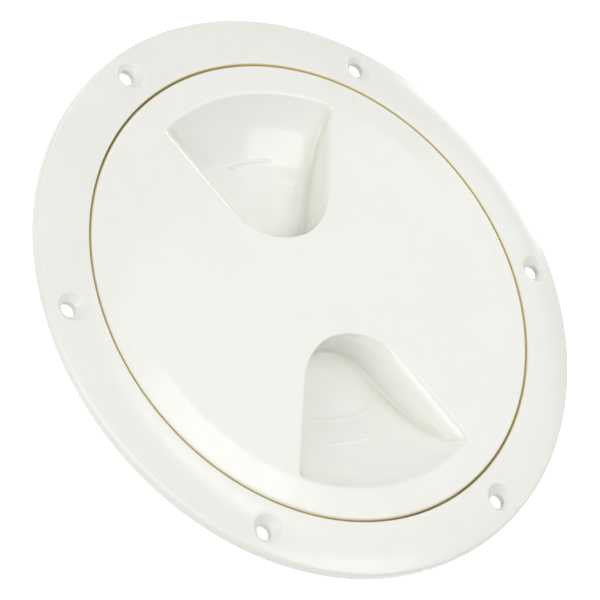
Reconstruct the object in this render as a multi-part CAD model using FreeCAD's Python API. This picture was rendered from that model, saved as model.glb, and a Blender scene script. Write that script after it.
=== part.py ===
"""Round screw-in inspection plate for a boat's deck, about 176 mm across, in moulded white plastic.

It is three pieces. A deck ring is screwed down through six countersunk holes, and its collar
drops through the cut-out in the deck. A lid screws into the collar with a coarse right-hand
thread, and is turned by two finger pockets sunk into its top. A square rubber seal ring sits
on the lid's shoulder, between the underside of its rim and the seat in the deck ring.

Lengths are in millimetres. The origin is the centre of the screw circle in the plane of the
deck, which is the underside of the flange. +Z points out of the deck, and +X runs through the
first screw hole.
"""

import FreeCAD
import Part
import os
from math import acos, atan, cos, degrees, radians, sin, sqrt, tan

Vector = FreeCAD.Vector
UP = Vector(0, 0, 1)
CENTRE = Vector(0, 0, 0)
# How far a cutting tool reaches past what it cuts
OVERSHOOT = 1.0

# Collar and thread, from the clear opening outward
CLEAR_RADIUS = 63.5
THREAD_HEIGHT = 1.8
THREAD_RADIAL_PLAY = 0.35
THREAD_PITCH = 5.0
THREAD_TURNS = 1.25
THREAD_ROOT_WIDTH = 3.0
THREAD_CREST_WIDTH = 1.4
THREAD_RUN_OUT = 5.0
THREAD_BITE = 0.4
COLLAR_WALL = 2.5
COLLAR_DEPTH = 18.0
COLLAR_EDGE = 0.8
THROAT_STEP = 0.7
SEAT_THICKNESS = 2.6
SPIGOT_WALL = 2.4

# Seal ring of square rubber, on the shoulder of the lid
SEAL_SECTION = 3.0
SEAL_CLEARANCE = 0.1
SHOULDER_CLEARANCE = 0.4

# Lid: its rim, which covers the seat, and its skirt
RIM_WIDTH = 6.2
JOINT_GAP = 0.65
JOINT_TOP = 4.5
LID_RISE = 0.5
LID_SLOPE_WIDTH = 9.3
LID_EDGE = 0.7
LID_RIM_THICKNESS = 2.9
LID_PLATE_THICKNESS = 3.0
SKIRT_WALL = 2.5
SKIRT_SETBACK = 1.5

# Deck ring: flange, with a sloping land that holds the screws
FLANGE_WIDTH = 15.55
FLANGE_WALL = 2.0
FLANGE_EDGE = 0.7
FLANGE_EDGE_TOP = 2.95
JOINT_EDGE = 0.5
SCREW_SETBACK = 6.8
SCREW_LAND = 4.7
LAND_INNER_TOP = 4.42
LAND_OUTER_TOP = 3.45
SCREW_COUNT = 6
SCREW_HOLE_RADIUS = 2.3
SCREW_HEAD_RADIUS = 4.2
SCREW_HEAD_HALF_ANGLE = 45.0

# Deck ring: relief moulded into the underside of the flange
RELIEF_DEPTH = 1.2
RELIEF_INNER_LAND = 3.0
RELIEF_OUTER_LAND = 3.0
SCREW_BOSS_RADIUS = 5.4

# Finger pockets, described for the one on the +Y side: a fan with straight sides and a round tip.
# Each side has its angle from the +Y axis and its distance outward from the lid's centre. The
# clockwise side is the steep one, and the anticlockwise side is the broad one that fingers pull.
POCKET_COUNT = 2
POCKET_DEPTH = 12.2
POCKET_FLAT_RADIUS = 37.5
POCKET_EDGE_ROUND = 6.0
POCKET_FLOOR_ROUND = 12.0
POCKET_WALL = 2.4
FOOT_STEEP_ANGLE = 22.7
FOOT_STEEP_OFFSET = -1.4
FOOT_BROAD_ANGLE = 22.7
FOOT_BROAD_OFFSET = 4.8
FOOT_TIP_RADIUS = 13.1
TOP_STEEP_ANGLE = 22.5
TOP_STEEP_OFFSET = 2.6
TOP_BROAD_ANGLE = 29.7
TOP_BROAD_OFFSET = 6.75
TOP_TIP_RADIUS = 20.9
# The wall's top is rounded over to a depth, and that takes up a share of how far it leans out
STEEP_ROUNDING_DEPTH = 2.3
STEEP_ROUNDING_SHARE = 0.4
BROAD_ROUNDING_DEPTH = 4.5
BROAD_ROUNDING_SHARE = 0.7
# The quarter turn of that rounding is divided into this many strips
ROUNDING_STRIPS = 5

# Index line on the lid's rim, in line with one screw hole
INDEX_ANGLE = 60.0
INDEX_SETBACK = 2.9
INDEX_LENGTH = 5.0
INDEX_WIDTH = 0.35
INDEX_DEPTH = 0.2

# Worked out from the above: radii, from the opening outward
BORE_RADIUS = CLEAR_RADIUS + THREAD_HEIGHT
COLLAR_RADIUS = BORE_RADIUS + COLLAR_WALL
THROAT_RADIUS = BORE_RADIUS + THROAT_STEP
SHOULDER_RADIUS = THROAT_RADIUS - SHOULDER_CLEARANCE
SKIRT_RADIUS = CLEAR_RADIUS - THREAD_RADIAL_PLAY
SEAL_INNER = SHOULDER_RADIUS + SEAL_CLEARANCE
LID_RADIUS = SHOULDER_RADIUS + RIM_WIDTH
PLATEAU_RADIUS = LID_RADIUS - LID_SLOPE_WIDTH
SEAT_RADIUS = LID_RADIUS + JOINT_GAP
SPIGOT_RADIUS = SEAT_RADIUS + SPIGOT_WALL
FLANGE_RADIUS = SEAT_RADIUS + FLANGE_WIDTH
SCREW_CIRCLE_RADIUS = FLANGE_RADIUS - SCREW_SETBACK

# Worked out from the above: heights, from the lid down
LID_TOP = JOINT_TOP + LID_RISE
LID_UNDERSIDE = JOINT_TOP - LID_RIM_THICKNESS
SEAT_LEVEL = LID_UNDERSIDE - SEAL_SECTION - 2 * SEAL_CLEARANCE
SEAT_UNDERSIDE = SEAT_LEVEL - SEAT_THICKNESS
SHOULDER_BOTTOM = SEAT_LEVEL - SHOULDER_CLEARANCE
THROAT_BOTTOM = SHOULDER_BOTTOM - SHOULDER_CLEARANCE
SKIRT_TOP = SHOULDER_BOTTOM - (SHOULDER_RADIUS - SKIRT_RADIUS)
SKIRT_BOTTOM = SKIRT_SETBACK - COLLAR_DEPTH
RING_THREAD_TOP = SKIRT_TOP - THREAD_CREST_WIDTH / 2
LID_THREAD_TOP = RING_THREAD_TOP - THREAD_PITCH / 2


def at(radius, height):
    """A point of a turned profile, in the XZ half plane."""
    return Vector(radius, 0, height)


def polar(radius, angle, height=0.0):
    """A point from its radius and its angle in degrees."""
    return Vector(radius * cos(radians(angle)), radius * sin(radians(angle)), height)


def line(a, b):
    return Part.LineSegment(a, b).toShape()


def arc(a, middle, b):
    return Part.Arc(a, middle, b).toShape()


def corner_ways(corner, before, after):
    """The two directions out of a corner, and half the angle between them."""
    to_before = (before - corner).normalize()
    to_after = (after - corner).normalize()
    half = acos(max(-1.0, min(1.0, to_before.dot(to_after)))) / 2
    return to_before, to_after, half


def corner_cut(corner, before, after, reach):
    """Start and end of the chamfer that takes a corner off, a reach away from it on each side."""
    to_before, to_after, _ = corner_ways(corner, before, after)
    return corner + to_before * reach, None, corner + to_after * reach


def corner_round(corner, before, after, radius):
    """Start, middle and end of the arc that rounds a corner between two neighbours."""
    to_before, to_after, half = corner_ways(corner, before, after)
    along = radius / tan(half)
    inward = (to_before + to_after).normalize()
    middle = corner + inward * (radius / sin(half) - radius)
    return corner + to_before * along, middle, corner + to_after * along


def turned(points, cuts=None, rounds=None):
    """The solid that a profile sweeps round the Z axis, with some corners cut off or rounded."""
    cuts = cuts or {}
    rounds = rounds or {}
    corners = []
    for i, point in enumerate(points):
        before = points[i - 1]
        after = points[(i + 1) % len(points)]
        if i in cuts:
            corners.append(corner_cut(point, before, after, cuts[i]))
        elif i in rounds:
            corners.append(corner_round(point, before, after, rounds[i]))
        else:
            corners.append((point, None, point))
    edges = []
    for i, (start, middle, end) in enumerate(corners):
        if middle is not None:
            edges.append(arc(start, middle, end))
        elif start != end:
            edges.append(line(start, end))
        edges.append(line(end, corners[(i + 1) % len(corners)][0]))
    return Part.Face(Part.Wire(edges)).revolve(CENTRE, UP, 360)


def cylinder(radius, bottom, top, x=0.0, y=0.0):
    return Part.makeCylinder(radius, top - bottom, Vector(x, y, bottom), UP)


def screw_places():
    """The centre of each screw hole."""
    return [polar(SCREW_CIRCLE_RADIUS, 360 * i / SCREW_COUNT) for i in range(SCREW_COUNT)]


def run_out(radius, direction, height, angle, side):
    """A block that bevels a ridge's end, so that the ridge grows out of its wall."""
    crest = radius + 2 * direction * THREAD_HEIGHT
    plan = Part.makePolygon([
        Vector(radius, 0, 0),
        Vector(crest, 2 * side * THREAD_RUN_OUT, 0),
        Vector(crest, -side, 0),
        Vector(radius, -side, 0),
        Vector(radius, 0, 0),
    ])
    block = Part.Face(plan).extrude(UP * THREAD_PITCH)
    block.translate(UP * (height - THREAD_PITCH / 2))
    block.rotate(CENTRE, UP, angle)
    return block


def thread_ridge(radius, direction, top):
    """A helical ridge that stands off a round wall: direction is +1 outward, -1 inward."""
    rise = THREAD_PITCH * THREAD_TURNS
    bottom = top - rise
    inside = radius - direction * THREAD_BITE
    crest = radius + direction * THREAD_HEIGHT
    flank = (THREAD_ROOT_WIDTH - THREAD_CREST_WIDTH) / 2 / THREAD_HEIGHT
    inside_half = THREAD_ROOT_WIDTH / 2 + flank * THREAD_BITE
    crest_half = THREAD_CREST_WIDTH / 2
    profile = Part.makePolygon([
        at(inside, bottom - inside_half),
        at(crest, bottom - crest_half),
        at(crest, bottom + crest_half),
        at(inside, bottom + inside_half),
        at(inside, bottom - inside_half),
    ])
    spine = Part.makeHelix(THREAD_PITCH, rise, radius)
    spine.translate(Vector(0, 0, bottom))
    ridge = Part.Wire(spine.Edges).makePipeShell([profile], True, True)
    ridge = ridge.cut(run_out(radius, direction, bottom, 0, 1))
    return ridge.cut(run_out(radius, direction, top, 360 * THREAD_TURNS, -1))


def ring_body():
    """The flange, the seat and the collar, turned in one piece."""
    points = [
        at(SEAT_RADIUS, SEAT_LEVEL),
        at(THROAT_RADIUS, SEAT_LEVEL),
        at(THROAT_RADIUS, THROAT_BOTTOM),
        at(BORE_RADIUS, THROAT_BOTTOM - THROAT_STEP),
        at(BORE_RADIUS, -COLLAR_DEPTH),
        at(COLLAR_RADIUS, -COLLAR_DEPTH),
        at(COLLAR_RADIUS, SEAT_UNDERSIDE),
        at(SPIGOT_RADIUS, SEAT_UNDERSIDE),
        at(SPIGOT_RADIUS, 0),
        at(FLANGE_RADIUS, 0),
        at(FLANGE_RADIUS, FLANGE_WALL),
        at(FLANGE_RADIUS - FLANGE_EDGE, FLANGE_EDGE_TOP),
        at(SCREW_CIRCLE_RADIUS + SCREW_LAND, LAND_OUTER_TOP),
        at(SCREW_CIRCLE_RADIUS - SCREW_LAND, LAND_INNER_TOP),
        at(SEAT_RADIUS, JOINT_TOP),
    ]
    body = turned(points, cuts={5: COLLAR_EDGE, 7: COLLAR_EDGE, 14: JOINT_EDGE})
    # The turning's seam then runs between two screws, clear of their holes
    body.rotate(CENTRE, UP, 180 / SCREW_COUNT)
    return body


def flange_relief():
    """The shallow ring cored out of the flange's underside, less the bosses round the screws."""
    inner = SPIGOT_RADIUS + RELIEF_INNER_LAND
    outer = FLANGE_RADIUS - RELIEF_OUTER_LAND
    relief = cylinder(outer, -OVERSHOOT, RELIEF_DEPTH).cut(cylinder(inner, -OVERSHOOT, RELIEF_DEPTH))
    for place in screw_places():
        relief = relief.cut(cylinder(SCREW_BOSS_RADIUS, -OVERSHOOT, RELIEF_DEPTH, place.x, place.y))
    return relief


def screw_cutter(place):
    """A through hole with a countersink that reaches its head radius at the land's middle."""
    lean = tan(radians(SCREW_HEAD_HALF_ANGLE))
    land_top = (LAND_INNER_TOP + LAND_OUTER_TOP) / 2
    cone_bottom = land_top - (SCREW_HEAD_RADIUS - SCREW_HOLE_RADIUS) / lean
    cone_top = JOINT_TOP + OVERSHOOT
    cone_radius = SCREW_HOLE_RADIUS + (cone_top - cone_bottom) * lean
    cone = Part.makeCone(
        SCREW_HOLE_RADIUS, cone_radius, cone_top - cone_bottom,
        Vector(place.x, place.y, cone_bottom), UP,
    )
    return cylinder(SCREW_HOLE_RADIUS, -OVERSHOOT, cone_top, place.x, place.y).fuse(cone)


def deck_ring():
    ridge = thread_ridge(BORE_RADIUS, -1, RING_THREAD_TOP)
    ring = ring_body().cut(flange_relief())
    for place in screw_places():
        ring = ring.cut(screw_cutter(place))
    return ring.fuse(ridge)


def seal_ring():
    bottom = SEAT_LEVEL + SEAL_CLEARANCE
    top = bottom + SEAL_SECTION
    return cylinder(SEAL_INNER + SEAL_SECTION, bottom, top).cut(cylinder(SEAL_INNER, bottom, top))


def lid_body():
    """The lid's plate, rim, shoulder and skirt, turned in one piece, without pockets."""
    skirt_inner = SKIRT_RADIUS - SKIRT_WALL
    plate_bottom = LID_TOP - LID_PLATE_THICKNESS
    points = [
        at(0, LID_TOP),
        at(PLATEAU_RADIUS, LID_TOP),
        at(LID_RADIUS, JOINT_TOP),
        at(LID_RADIUS, LID_UNDERSIDE),
        at(SHOULDER_RADIUS, LID_UNDERSIDE),
        at(SHOULDER_RADIUS, SHOULDER_BOTTOM),
        at(SKIRT_RADIUS, SKIRT_TOP),
        at(SKIRT_RADIUS, SKIRT_BOTTOM),
        at(skirt_inner, SKIRT_BOTTOM),
        at(skirt_inner, plate_bottom),
        at(0, plate_bottom),
    ]
    return turned(points, cuts={2: LID_EDGE, 7: COLLAR_EDGE})


def between(foot, top, share):
    return foot + (top - foot) * share


def wall_share(depth, rounding_depth, rounding_share, rounded):
    """How far a pocket's wall leans out at a depth: 1 at its top and 0 under the floor."""
    lean = (1 - rounding_share) * (1 - depth / (POCKET_DEPTH + POCKET_WALL))
    down = min(depth / rounding_depth, 1.0)
    rounding = 1 - sqrt(1 - (1 - down) ** 2)
    return lean + rounding_share * rounding if rounded else lean


def pocket_outline(depth, grow, rounded):
    """The outline of the pocket's wall at a depth, offset by grow, past the floor's outer edge."""
    steep_share = wall_share(depth, STEEP_ROUNDING_DEPTH, STEEP_ROUNDING_SHARE, rounded)
    broad_share = wall_share(depth, BROAD_ROUNDING_DEPTH, BROAD_ROUNDING_SHARE, rounded)
    steep = radians(between(FOOT_STEEP_ANGLE, TOP_STEEP_ANGLE, steep_share))
    broad = radians(between(FOOT_BROAD_ANGLE, TOP_BROAD_ANGLE, broad_share))
    steep_out = Vector(cos(steep), -sin(steep), 0)
    broad_out = Vector(-cos(broad), -sin(broad), 0)
    tip = between(FOOT_TIP_RADIUS, TOP_TIP_RADIUS, (steep_share + broad_share) / 2) + grow
    # The tip's centre lies one tip radius inside both sides
    steep_in = between(FOOT_STEEP_OFFSET, TOP_STEEP_OFFSET, steep_share) + grow - tip
    broad_in = between(FOOT_BROAD_OFFSET, TOP_BROAD_OFFSET, broad_share) + grow - tip
    scale = steep_out.x * broad_out.y - steep_out.y * broad_out.x
    centre = Vector(
        (steep_in * broad_out.y - broad_in * steep_out.y) / scale,
        (broad_in * steep_out.x - steep_in * broad_out.x) / scale,
        LID_TOP - depth - grow,
    )
    reach = PLATEAU_RADIUS + 2 * POCKET_WALL + grow
    steep_start = centre + steep_out * tip
    broad_start = centre + broad_out * tip
    tip_middle = centre + (steep_out + broad_out).normalize() * tip
    steep_end = side_end(steep_start, Vector(sin(steep), cos(steep), 0), reach)
    broad_end = side_end(broad_start, Vector(-sin(broad), cos(broad), 0), reach)
    return Part.Wire([
        line(steep_end, steep_start),
        arc(steep_start, tip_middle, broad_start),
        line(broad_start, broad_end),
        arc(broad_end, Vector(0, reach, centre.z), steep_end),
    ])


def side_end(start, along, reach):
    """Where a pocket's side, from its start along its direction, is at a radius from the centre."""
    level = start.x * along.x + start.y * along.y
    square = start.x ** 2 + start.y ** 2
    return start + along * (sqrt(level ** 2 + reach ** 2 - square) - level)


def inside_walls(depths, grow, rounded):
    """The solid inside the pocket's walls, which run straight from each depth to the next."""
    outlines = [pocket_outline(depth, grow, rounded) for depth in depths]
    return Part.makeLoft(outlines, True, True)


def pocket_floor(drop=0.0):
    """The solid above the pocket's turned floor, with the floor lowered by a drop."""
    ceiling = LID_TOP + OVERSHOOT
    beyond = PLATEAU_RADIUS + POCKET_WALL
    points = [
        at(0, ceiling),
        at(beyond, ceiling),
        at(beyond, LID_TOP - drop),
        at(PLATEAU_RADIUS, LID_TOP - drop),
        at(POCKET_FLAT_RADIUS, LID_TOP - POCKET_DEPTH - drop),
        at(0, LID_TOP - POCKET_DEPTH - drop),
    ]
    return turned(points, rounds={3: POCKET_EDGE_ROUND, 4: POCKET_FLOOR_ROUND})


def pocket_hollow():
    """The space in a pocket: its walls have a rounded top, and lean straight below that."""
    angles = [radians(90 * i / ROUNDING_STRIPS) for i in range(ROUNDING_STRIPS + 1)]
    depths = [BROAD_ROUNDING_DEPTH * (1 - cos(angle)) for angle in angles]
    depths.append(POCKET_DEPTH + POCKET_WALL)
    return inside_walls(depths, grow=0, rounded=True).common(pocket_floor())


def pocket_shell():
    """The moulded shell that hangs under the lid's plate round a pocket, before it is hollowed."""
    depths = [0, POCKET_DEPTH + POCKET_WALL]
    return inside_walls(depths, grow=POCKET_WALL, rounded=False).common(pocket_floor(POCKET_WALL))


def around_lid(shape, turn):
    copy = shape.copy()
    copy.rotate(CENTRE, UP, turn)
    return copy


def index_line():
    """The narrow groove on the lid's rim that lines up with a screw hole."""
    slope = LID_RISE / LID_SLOPE_WIDTH
    inner = PLATEAU_RADIUS + INDEX_SETBACK
    level = LID_TOP - INDEX_SETBACK * slope
    tool = Part.makeBox(
        INDEX_LENGTH, INDEX_WIDTH, INDEX_DEPTH + OVERSHOOT,
        Vector(inner, -INDEX_WIDTH / 2, level - INDEX_DEPTH),
    )
    tool.rotate(at(inner, level), Vector(0, 1, 0), degrees(atan(slope)))
    tool.rotate(CENTRE, UP, INDEX_ANGLE)
    return tool


def screw_lid():
    lid = lid_body()
    shell = pocket_shell()
    hollow = pocket_hollow()
    turns = [360 * i / POCKET_COUNT for i in range(POCKET_COUNT)]
    for turn in turns:
        lid = lid.fuse(around_lid(shell, turn))
    for turn in turns:
        lid = lid.cut(around_lid(hollow, turn))
    lid = lid.cut(index_line())
    return lid.fuse(thread_ridge(SKIRT_RADIUS, 1, LID_THREAD_TOP))


def main():
    os.makedirs("parts", exist_ok=True)
    pieces = {"deck_ring": deck_ring(), "seal_ring": seal_ring(), "screw_lid": screw_lid()}
    for name, shape in pieces.items():
        print(name, shape.ShapeType, len(shape.Solids), "solids", round(shape.Volume), "mm3", shape.isValid())
        shape.exportStep(f"parts/{name}.step")


main()
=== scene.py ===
# %% [markdown]
# # Deck inspection plate
#
# A round screw-in inspection plate for a boat's deck has three pieces: a deck ring with six
# countersunk holes, a lid with two finger pockets that screws into it, and a rubber seal ring
# between them. Ring and lid are moulded in white plastic. The frame holds the three solids at
# their real size and place, so what is made here goes where they are.

# %% Load the frame
import math

import bmesh
import bpy
import numpy as np
from mathutils import Matrix, Vector
from mathutils.geometry import delaunay_2d_cdt
from mathutils.kdtree import KDTree


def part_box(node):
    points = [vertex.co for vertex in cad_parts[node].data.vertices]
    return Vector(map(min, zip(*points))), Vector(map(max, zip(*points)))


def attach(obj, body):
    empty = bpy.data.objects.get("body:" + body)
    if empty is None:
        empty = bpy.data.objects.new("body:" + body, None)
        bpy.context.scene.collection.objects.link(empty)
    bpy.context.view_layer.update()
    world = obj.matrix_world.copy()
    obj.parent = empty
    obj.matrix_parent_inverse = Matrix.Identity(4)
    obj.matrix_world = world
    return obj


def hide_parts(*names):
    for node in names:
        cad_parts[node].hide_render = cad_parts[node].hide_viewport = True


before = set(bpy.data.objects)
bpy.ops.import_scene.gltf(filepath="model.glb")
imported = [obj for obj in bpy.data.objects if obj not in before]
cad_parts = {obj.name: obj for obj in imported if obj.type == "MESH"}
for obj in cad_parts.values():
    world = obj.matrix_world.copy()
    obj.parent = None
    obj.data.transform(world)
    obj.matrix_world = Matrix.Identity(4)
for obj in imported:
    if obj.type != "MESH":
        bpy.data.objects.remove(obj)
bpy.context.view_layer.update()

# %% [markdown]
# ## Camera
#
# The camera stands where the photographer stood. A round plate shows its viewing angle well:
# the ellipse of its flange gives the tilt, and the six screw holes give the turn and the lens.
# The camera looks down at about 50 degrees with a long lens, rolled about its own axis. A turn
# matrix from its three axes places it exactly.

# %% Place the camera
CAMERA_PLACE = (-0.495231, -0.269489, 0.671029)
CAMERA_RIGHT = (0.8240, -0.2847, 0.4899)
CAMERA_UP = (0.0688, 0.9084, 0.4123)
LENS_MM = 181.85
SENSOR_MM = 36.0


def add_object(name, data):
    """A new object in the scene's collection."""
    item = bpy.data.objects.new(name, data)
    bpy.context.scene.collection.objects.link(item)
    return item


right = Vector(CAMERA_RIGHT).normalized()
back = right.cross(Vector(CAMERA_UP)).normalized()
camera_data = bpy.data.cameras.new("photo_camera")
camera_data.lens = LENS_MM
camera_data.sensor_width = SENSOR_MM
camera = add_object("photo_camera", camera_data)
turn = Matrix((right, back.cross(right), back)).transposed().to_4x4()
camera.matrix_world = Matrix.Translation(CAMERA_PLACE) @ turn
bpy.context.scene.camera = camera
print("camera back axis", [round(v, 4) for v in back])

# %% [markdown]
# ## Sizes
#
# Meshes are built in millimetres, as a moulding is drawn, and scaled to metres once, when they
# become objects. Sizes that the frame knows are read from its boxes. The others are the
# plate's own, and each is written once.

# %% Sizes of the plate, in millimetres
MM = 0.001
WELD = 0.004


def reach_and_heights(node):
    """A turned node's outer radius, its bottom and its top, in millimetres."""
    low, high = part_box(node)
    return round(high.x / MM, 2), round(low.z / MM, 2), round(high.z / MM, 2)


LID_RADIUS, SKIRT_BOTTOM, LID_TOP = reach_and_heights("screw_lid")
FLANGE_RADIUS, COLLAR_BOTTOM, JOINT_TOP = reach_and_heights("deck_ring")
SEAL_RADIUS, SEAL_BOTTOM, SEAL_TOP = reach_and_heights("seal_ring")

# The lid: its flat plateau, the slope round it, and what hangs under it
PLATEAU_RADIUS = LID_RADIUS - 9.3
LID_EDGE = 0.8
RIM_UNDERSIDE = JOINT_TOP - 2.9
SHOULDER_RADIUS = LID_RADIUS - 6.2
SKIRT_RADIUS = SHOULDER_RADIUS - 2.45
SKIRT_INNER = SKIRT_RADIUS - 2.5
PLATE_UNDERSIDE = LID_TOP - 3.0
SEAT_LEVEL = SEAL_BOTTOM - 0.1
SHOULDER_BOTTOM = SEAT_LEVEL - 0.4
SKIRT_TOP = SHOULDER_BOTTOM - (SHOULDER_RADIUS - SKIRT_RADIUS)

# The deck ring: from the joint outward, and then down the collar
SEAT_RADIUS = LID_RADIUS + 0.65
SEAT_UNDERSIDE = SEAT_LEVEL - 2.6
THROAT_RADIUS = SHOULDER_RADIUS + 0.4
THROAT_BOTTOM = SHOULDER_BOTTOM - 0.4
BORE_RADIUS = THROAT_RADIUS - 0.7
COLLAR_RADIUS = BORE_RADIUS + 2.5
SPIGOT_RADIUS = SEAT_RADIUS + 2.4
SCREW_CIRCLE_RADIUS = FLANGE_RADIUS - 6.8
SCREW_COUNT = 6
HOLE_RADIUS = 2.3

# The coarse thread that the two mouldings share
PITCH = 5.0
THREAD_TURNS = 1.25
THREAD_HEIGHT = 1.8
RING_THREAD_TOP = SKIRT_TOP - 0.7
LID_THREAD_TOP = RING_THREAD_TOP - PITCH / 2
print("lid", LID_RADIUS, "seat", SEAT_RADIUS, "flange", FLANGE_RADIUS, "skirt", round(SKIRT_RADIUS, 2))

# %% [markdown]
# ## Turned patches
#
# Most of a moulding is turned about its axis, so most of its surface is a profile swept round.
# A moulded edge is never sharp: the tool is cut with a small radius, and that radius is what
# catches the light. So a profile is given as corners, each with its own rounding, and a few
# steps are set along every rounding. Two extra points beside it keep the flats next to it flat
# when they are shaded.

# %% Profiles with rounded corners
ROUNDING_STEPS = 6
HOLDING = 0.25


def softened(corners, closed=False):
    """Points of a profile whose corners are (radius, height, rounding)."""
    count = len(corners)
    out = []
    for i, (r, z, rounding) in enumerate(corners):
        corner = np.array((r, z))
        if not closed and i in (0, count - 1):
            out.append(corner)
            continue
        before = np.array(corners[i - 1][:2]) - corner
        after = np.array(corners[(i + 1) % count][:2]) - corner
        before /= np.linalg.norm(before)
        after /= np.linalg.norm(after)
        half = math.acos(np.clip(before @ after, -1, 1)) / 2
        along = rounding / math.tan(half)
        inward = (before + after) / np.linalg.norm(before + after)
        centre = corner + inward * rounding / math.sin(half)
        start = corner + before * along
        end = corner + after * along
        out.append(start + before * HOLDING * rounding)
        for step in range(ROUNDING_STEPS + 1):
            way = start + (end - start) * step / ROUNDING_STEPS - centre
            out.append(centre + way / np.linalg.norm(way) * rounding)
        out.append(end + after * HOLDING * rounding)
    return np.array(out)


def circle(radius, count, centre=(0.0, 0.0)):
    """Plan points on a circle."""
    angles = np.arange(count) * 2 * math.pi / count
    return np.column_stack((centre[0] + radius * np.cos(angles), centre[1] + radius * np.sin(angles)))


def circles(radii, count):
    """Plan points on circles about the lid's axis, equally many on each."""
    return np.vstack([circle(radius, count) for radius in radii])


def swept_faces(rows, count, closed=False):
    """Faces between rings of points, each ring joined to the next."""
    faces = []
    for row in range(rows if closed else rows - 1):
        above = (row + 1) % rows
        for i in range(count):
            j = (i + 1) % count
            faces.append((row * count + i, row * count + j, above * count + j, above * count + i))
    return faces


def turned_patch(profile, count, centre=(0.0, 0.0), closed=False):
    """A profile swept round an upright axis: its points, and its faces with normals to the right."""
    rings = [np.column_stack((circle(r, count, centre), np.full(count, z))) for r, z in profile]
    return np.vstack(rings), swept_faces(len(profile), count, closed)


print("points on a softened corner:", len(softened([(0.0, 0.0, 0), (9.0, 0.0, 1), (9.0, 9.0, 0)])) - 2)

# %% [markdown]
# ## Scattered patches
#
# Three faces aren't turned: the lid's top with its pockets, the lid's underside with the
# pockets' shells, and the flange with its screw holes. Each is a height over the plan. A
# regular grid would step along every slanting edge, so points are laid in rows that follow the
# edges, close together where the surface bends. A triangulation joins them into a sheet.

# %% Sheets over scattered plan points
JOIN_GAP = 1e-6
FEWEST = 6


def spread_circles(radii, spacing):
    """Plan points on circles about the lid's axis, one spacing apart along each."""
    return np.vstack([circle(r, max(FEWEST, int(2 * math.pi * r / spacing))) for r in radii])


def spaced(kept, candidates, gap):
    """What is kept, and those candidates that are at least a gap away from all of it."""
    tree = KDTree(len(kept))
    for i, (x, y) in enumerate(kept):
        tree.insert((x, y, 0), i)
    tree.balance()
    far = [point for point in candidates if tree.find((point[0], point[1], 0))[2] >= gap]
    return np.vstack((kept, far)) if far else kept


def layered(kept, layers):
    """What is kept, and then layers of points, each with its own gap from all before it."""
    for points, gap in layers:
        kept = spaced(kept, points, gap)
    return kept


def inside_polygon(plan, polygon):
    """Whether plan points lie inside a polygon: a ray from there crosses it an odd number of times."""
    x, y = plan[:, 0], plan[:, 1]
    inside = np.zeros(len(plan), bool)
    for (x1, y1), (x2, y2) in zip(polygon, np.roll(polygon, -1, axis=0)):
        if y1 != y2:
            crosses = (y1 > y) != (y2 > y)
            inside ^= crosses & (x < (x2 - x1) * (y - y1) / (y2 - y1) + x1)
    return inside


def scattered_patch(loops, inner_points, height, upward=True):
    """A sheet inside the first loop and outside the others, at the heights that a function gives."""
    plan = np.vstack(loops + [inner_points])
    edges = []
    start = 0
    for loop in loops:
        size = len(loop)
        edges += [(start + i, start + (i + 1) % size) for i in range(size)]
        start += size
    coords, _, faces, *_ = delaunay_2d_cdt([Vector(p) for p in plan], edges, [], 0, JOIN_GAP)
    coords = np.array([tuple(c) for c in coords])
    faces = np.array(faces)
    middles = coords[faces].mean(axis=1)
    keep = inside_polygon(middles, loops[0])
    for loop in loops[1:]:
        keep &= ~inside_polygon(middles, loop)
    faces = faces[keep]
    points = np.column_stack((coords, height(coords[:, 0], coords[:, 1])))
    return points, [tuple(f) if upward else tuple(f[::-1]) for f in faces.tolist()]


print("inside a unit hexagon:", inside_polygon(np.array(((0.5, 0.1), (1.5, 0.1))), circle(1, 6)))

# %% [markdown]
# ## Smooth joins
#
# Where two moulded faces meet there is a fillet, and in a deep pocket it carries the soft dark
# line at the foot of the wall. A smooth minimum of two distances gives such a fillet along any
# join. The height is then found by halving: a point is lowered or raised until it lies on the
# joined surface.

# %% Smooth minimum and height by halving
HALVINGS = 34


def smooth_min(a, b, blend):
    """The smaller of two distances, eased over a blend where they are nearly the same."""
    near = np.clip(blend - np.abs(a - b), 0, None) / blend
    return np.minimum(a, b) - near * near * blend / 4


def smooth_max(a, b, blend):
    return -smooth_min(-a, -b, blend)


def eased(value):
    """From 0 to 1 as a value goes from 0 to 1, and level at both ends."""
    part = np.clip(value, 0, 1)
    return part * part * (3 - 2 * part)


def height_by_halving(rising, low, high, shape):
    """The height at which a function that rises with height passes zero, at each point."""
    low = np.full(shape, float(low))
    high = np.full(shape, float(high))
    for _ in range(HALVINGS):
        middle = (low + high) / 2
        above = rising(middle) > 0
        high = np.where(above, middle, high)
        low = np.where(above, low, middle)
    return (low + high) / 2


print("smooth minimum of 1 and 1 over a blend of 0.4:", smooth_min(1.0, 1.0, 0.4))

# %% [markdown]
# ## The finger pockets
#
# Each pocket is a fan with straight sides and a round tip near the lid's centre. The side that
# fingers pull on rolls over broadly, and the other is steep. Each size below is given at the
# foot of the wall and at its top, and a wall's share says how far the outline has moved from
# one to the other at a depth.

# %% The pocket's outline at any depth
POCKET_DEPTH = 12.2
POCKET_WALL = 2.4
STEEP_ANGLE = (22.5, 22.5)
STEEP_OFFSET = (1.1, 2.6)
BROAD_ANGLE = (27.1, 29.7)
BROAD_OFFSET = (3.3, 6.75)
TIP_RADIUS = (15.3, 20.9)
STEEP_ROUNDING = (2.3, 0.8)
BROAD_ROUNDING = (4.5, 0.8)


def share(depth, rounding, rounded):
    """How far a wall leans out at a depth, from 1 at its top to 0 under the floor."""
    rounding_depth, part = rounding
    lean = (1 - part) * (1 - depth / (POCKET_DEPTH + POCKET_WALL))
    if not rounded:
        return lean
    down = np.minimum(depth / rounding_depth, 1.0)
    return lean + part * (1 - np.sqrt(1 - (1 - down) ** 2))


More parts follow.
